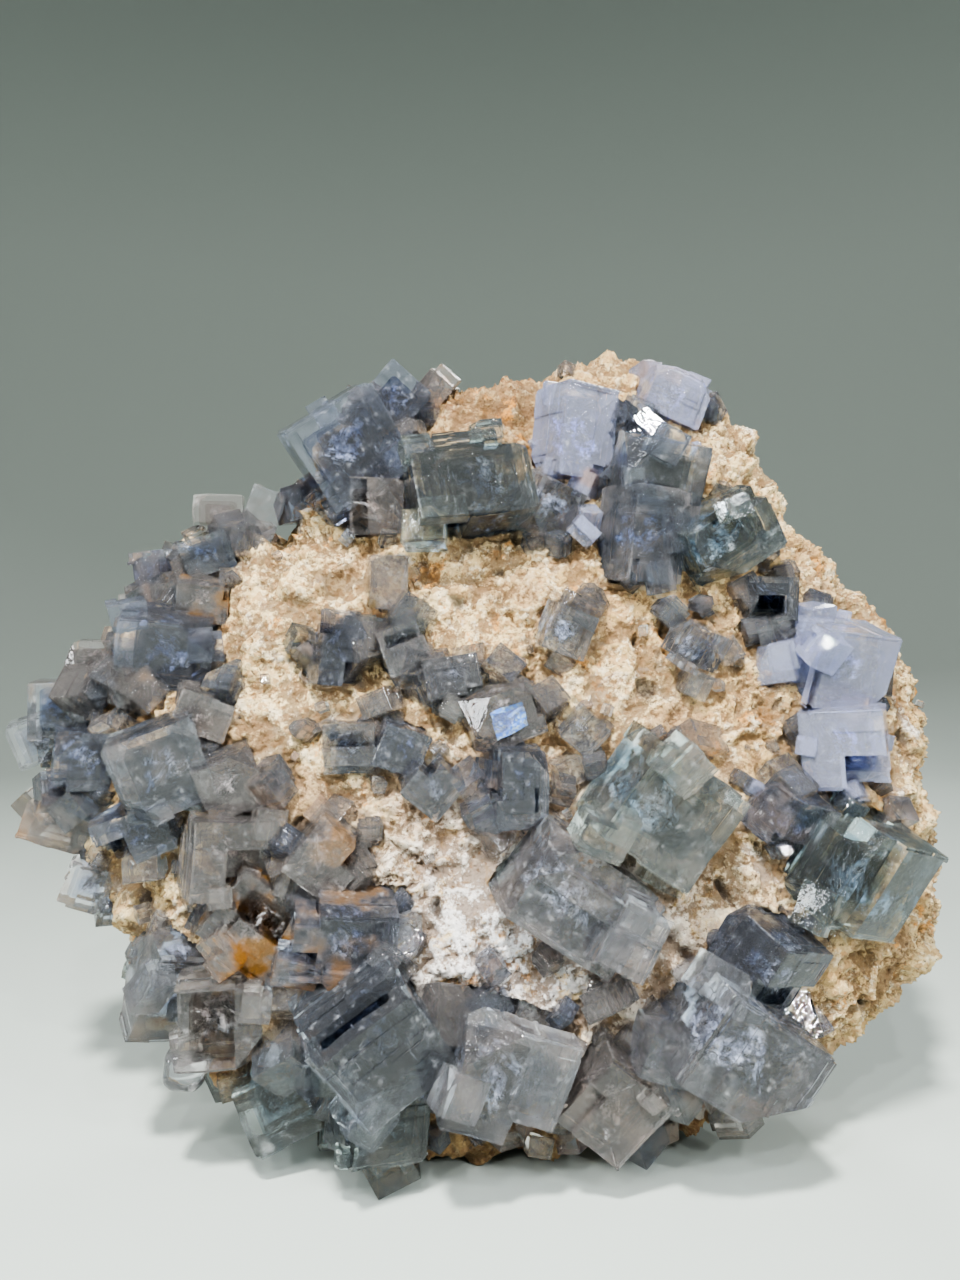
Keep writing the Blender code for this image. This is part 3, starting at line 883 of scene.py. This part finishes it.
def make_rock(material):
    """The CAD rock, remeshed fine, with grains, ledges and pits."""
    piece = link_object("matrix", NODES[ROCK].data.copy())
    voxel_remesh(piece, ROCK_VOXEL)
    mesh = piece.data
    points = coordinates(mesh)
    normals = np.empty(len(points) * 3, np.float32)
    mesh.vertices.foreach_get("normal", normals)
    normals = normals.reshape(-1, 3)
    lift, shape, pit_and_socket_shade, painted_light, brown_and_under_shade = rock_fields(points)
    tight, shade = crystal_depth(points)
    lift = lift * (1 - tight) + tight * SOCKET_LIFT
    # Painted shade: pits and the rock behind crystals are darkened.
    pit_and_socket_shade = np.maximum(pit_and_socket_shade, shade)
    on_floor = points[:, 2] < FLOOR_MARGIN
    lift[on_floor] = np.minimum(lift[on_floor], 0)
    moved = points + normals * (lift * MM)[:, None]
    moved[:, 2] = np.maximum(moved[:, 2], 0.0)
    mesh.vertices.foreach_set("co", moved.astype(np.float32).ravel())
    write_attribute(mesh, "height", shape)
    write_attribute(mesh, "pit_and_socket_shade", pit_and_socket_shade)
    write_attribute(mesh, "painted_light", painted_light)
    write_attribute(mesh, "brown_and_under_shade", brown_and_under_shade)
    mesh.materials.clear()
    mesh.materials.append(material)
    mesh.shade_smooth()
    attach(piece, "root")
    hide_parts(ROCK)


# ---------------------------------------------------------------- details

def rocky_lump(name, centre, size, material):
    """A loose-looking lump of the same rock grown in among the crystals."""
    bm = bmesh.new()
    bmesh.ops.create_icosphere(bm, subdivisions=5, radius=size / 2)
    for vert in bm.verts:
        place = (vert.co + centre) / MM
        lift, _, _ = rock_relief(place * 2.0)
        vert.co = vert.co * (1.0 + 0.05 * lift) * LUMP_SWELL + centre
    piece = piece_from(bm, name, [material])
    count = len(piece.data.vertices)
    relief = [rock_relief(vert.co / MM * 2.0) for vert in piece.data.vertices]
    write_attribute(piece.data, "height", np.array([row[1] for row in relief]))
    write_attribute(piece.data, "pit_and_socket_shade", np.array([row[2] for row in relief]))
    write_attribute(piece.data, "painted_light", np.zeros(count))
    write_attribute(piece.data, "brown_and_under_shade", np.ones(count))


def glass_ball(name, centre, size, material):
    """A clear rounded crystal with facets worn almost to a ball."""
    bm = bmesh.new()
    bmesh.ops.create_cube(bm, size=size)
    rounding = BALL_ROUNDING * size
    bmesh.ops.bevel(bm, geom=bm.edges[:], offset=rounding, segments=7, profile=0.5, affect="EDGES")
    for vert in bm.verts:
        vert.co += noise.noise_vector(vert.co / (0.4 * size)) * 0.05 * size
    for face in bm.faces:
        face.smooth = True
    piece = piece_from(bm, name, [material])
    points = coordinates(piece.data)
    finish_crystal(piece.data, points, None, Matrix.Identity(3), centre, len(CRYSTALS), (0.0, 0.1))


def make_glint(node, material):
    """The flashing crack, on one crystal's front face."""
    axes, middle, half = shape_of(node)
    facing = max(range(3), key=lambda axis: abs(axes[1][axis]))
    forward = -1 if axes[1][facing] > 0 else 1
    size = Vector([GLINT_SHARE * side for side in half])
    size[facing] = VEIL_THICKNESS
    bm = bmesh.new()
    bmesh.ops.create_cube(bm, size=2.0)
    bmesh.ops.subdivide_edges(bm, edges=bm.edges[:], cuts=GLINT_CUTS, use_grid_fill=True)
    bmesh.ops.scale(bm, vec=size, verts=bm.verts)
    for vert in bm.verts:
        vert.co += noise.noise_vector(vert.co / (0.5 * max(half))) * GLINT_WARP * max(half)
        vert.co[facing] += forward * half[facing] * GLINT_OUT
    piece = piece_from(bm, node + "_glint", [material])
    finish_crystal(piece.data, coordinates(piece.data), None, axes, middle, len(CRYSTALS) + 1, (0.0, 0.0))


# ---------------------------------------------------------------- stage

def add_area_light(name, place, aim, power, size, colour=(1.0, 1.0, 1.0)):
    """A round lamp that looks at a point."""
    data = bpy.data.lights.new(name, "AREA")
    data.energy = power
    data.shape = "DISK"
    data.size = size
    data.color = colour
    made = bpy.data.objects.new(name, data)
    made.location = place
    made.rotation_euler = (Vector(aim) - Vector(place)).to_track_quat("-Z", "Y").to_euler()
    bpy.context.scene.collection.objects.link(made)


def bowl_rows():
    """The backdrop's outline from the middle out: how far out, and how high."""
    rows = [(BOWL_FLAT, 0.0)]
    for step in range(1, BOWL_STEPS + 1):
        angle = math.radians(90 * step / BOWL_STEPS)
        rows.append((BOWL_FLAT + BOWL_BEND * math.sin(angle), BOWL_BEND * (1 - math.cos(angle))))
    rows.append((BOWL_FLAT + BOWL_BEND, BOWL_WALL))
    return rows


def make_bowl():
    """A plain pale bowl, floor and backdrop in one from any side."""
    bm = bmesh.new()
    rings = []
    turns = [2 * math.pi * number / BOWL_SIDES for number in range(BOWL_SIDES)]
    for reach, height in bowl_rows():
        ring = [(reach * math.cos(turn), reach * math.sin(turn), height) for turn in turns]
        rings.append([bm.verts.new(corner) for corner in ring])
    bm.faces.new(rings[0])
    for inner, outer in zip(rings, rings[1:]):
        for number in range(BOWL_SIDES):
            after = (number + 1) % BOWL_SIDES
            bm.faces.new((inner[number], outer[number], outer[after], inner[after])).smooth = True
    mesh = bpy.data.meshes.new("bowl")
    bm.to_mesh(mesh)
    bm.free()
    bowl = link_object("bowl", mesh)
    s = Shader("bowl_paint")
    s.set(Base_Color=BOWL_TINT, Roughness=0.8)
    mesh.materials.append(s.material)


def make_lights():
    """A dim grey surround, a key lamp from above the viewer, soft fills, and small sparkling lamps."""
    world = bpy.data.worlds.new("studio")
    world.use_nodes = True
    background = world.node_tree.nodes["Background"]
    background.inputs["Color"].default_value = WORLD_TINT
    background.inputs["Strength"].default_value = WORLD_STRENGTH
    bpy.context.scene.world = world
    for name, (place, aim, power, width, colour) in LAMPS.items():
        add_area_light(name, place, aim, power, width, colour)
    for number in range(SPARKLES):
        side = number / (SPARKLES - 1) * 2 - 1
        place = (SPARKLE_REACH * side, SPARKLE_FRONT, SPARKLE_TOP - SPARKLE_DROP * abs(side))
        add_area_light("sparkle_%d" % number, place, AIM, SPARKLE_POWER, SPARKLE_WIDTH)
    bpy.context.scene.view_settings.look = "AgX - Medium High Contrast"


def make_camera():
    """Level, at the height of the crystal face's middle, close in front as the viewer stands."""
    data = bpy.data.cameras.new("camera")
    data.sensor_width = SENSOR_WIDTH
    data.lens = CAMERA_LENS
    made = bpy.data.objects.new("camera", data)
    made.location = CAMERA_PLACE
    made.rotation_euler = (math.radians(90), 0, 0)
    bpy.context.scene.collection.objects.link(made)
    bpy.context.scene.camera = made


# ---------------------------------------------------------------- build

make_camera()
make_bowl()
make_lights()
glass = {"fluorite_" + tint: fluorite_material(tint) for tint in TINTS}
zones = {"fluorite_" + tint: zone_material("zone_" + tint, look["zone"]) for tint, look in TINTS.items()}
dark_core = zone_material("zone_core", CORE_TINT)
veil = veil_material()
stone = matrix_material()
make_rock(stone)
for number, node in enumerate(CRYSTALS):
    zone = dark_core if node in DARK_CORES else zones[SLOTS[node]]
    make_crystal(node, glass[SLOTS[node]], zone, veil, number)
scatter_small_crystals(glass)
tail = corner_below("smoky_block")
glass_ball("glass_ball", tail + Vector((BALL / 4, 0, -BALL / 4)), BALL, glass["fluorite_clear"])
rocky_lump("rock_tip", tail + Vector((BALL * 1.3, BALL / 4, -BALL / 2)), BALL, stone)
make_glint("heart_top", glint_material())
